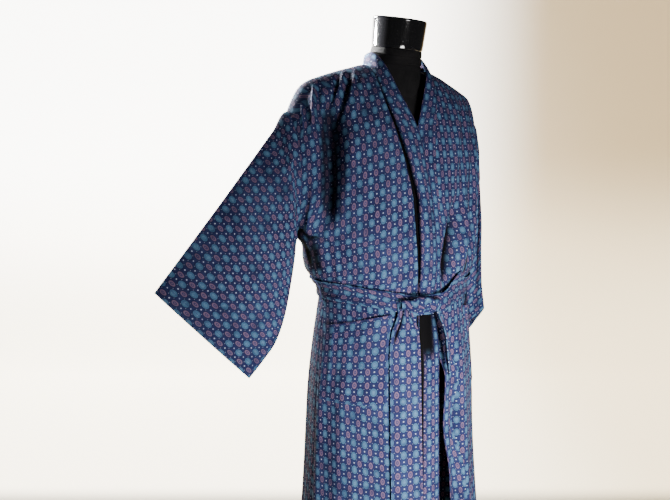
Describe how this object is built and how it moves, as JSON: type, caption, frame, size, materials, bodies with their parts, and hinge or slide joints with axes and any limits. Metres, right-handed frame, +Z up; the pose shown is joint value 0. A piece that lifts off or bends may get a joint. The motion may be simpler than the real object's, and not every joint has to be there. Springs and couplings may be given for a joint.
{
  "type": "kimono robe on dress form",
  "caption": "Printed cotton wrap robe with wide straight sleeves, a collar band, a sash and patch pockets, on a limbless dress form with a round stand.",
  "frame": {"origin": "on the floor, under the middle of the stand's round base", "axes": "+Z up; the wearer faces -Y, so the wearer's right hand is towards -X"},
  "size_m": [0.7958, 0.3945, 1.6123],
  "materials": {
    "printed_cotton": "soft plain weave with an all-over print of small ovals",
    "black_jersey": "matte jersey",
    "gloss_black": "glossy",
    "black_steel": "satin black"
  },
  "bodies": {
    "root": {"front_right": "printed_cotton", "front_left": "printed_cotton", "back": "printed_cotton", "sleeve_right": "printed_cotton", "sleeve_left": "printed_cotton", "collar_band": "printed_cotton", "sash": "printed_cotton", "sash_knot": "printed_cotton", "sash_end_front": "printed_cotton", "sash_end_side": "printed_cotton", "pocket_right": "printed_cotton", "sash_loop_right": "printed_cotton", "pocket_left": "printed_cotton", "sash_loop_left": "printed_cotton", "form_body": "black_jersey", "form_cap": "gloss_black", "form_pole": "black_steel", "form_base": "black_steel"}
  },
  "joints": []
}
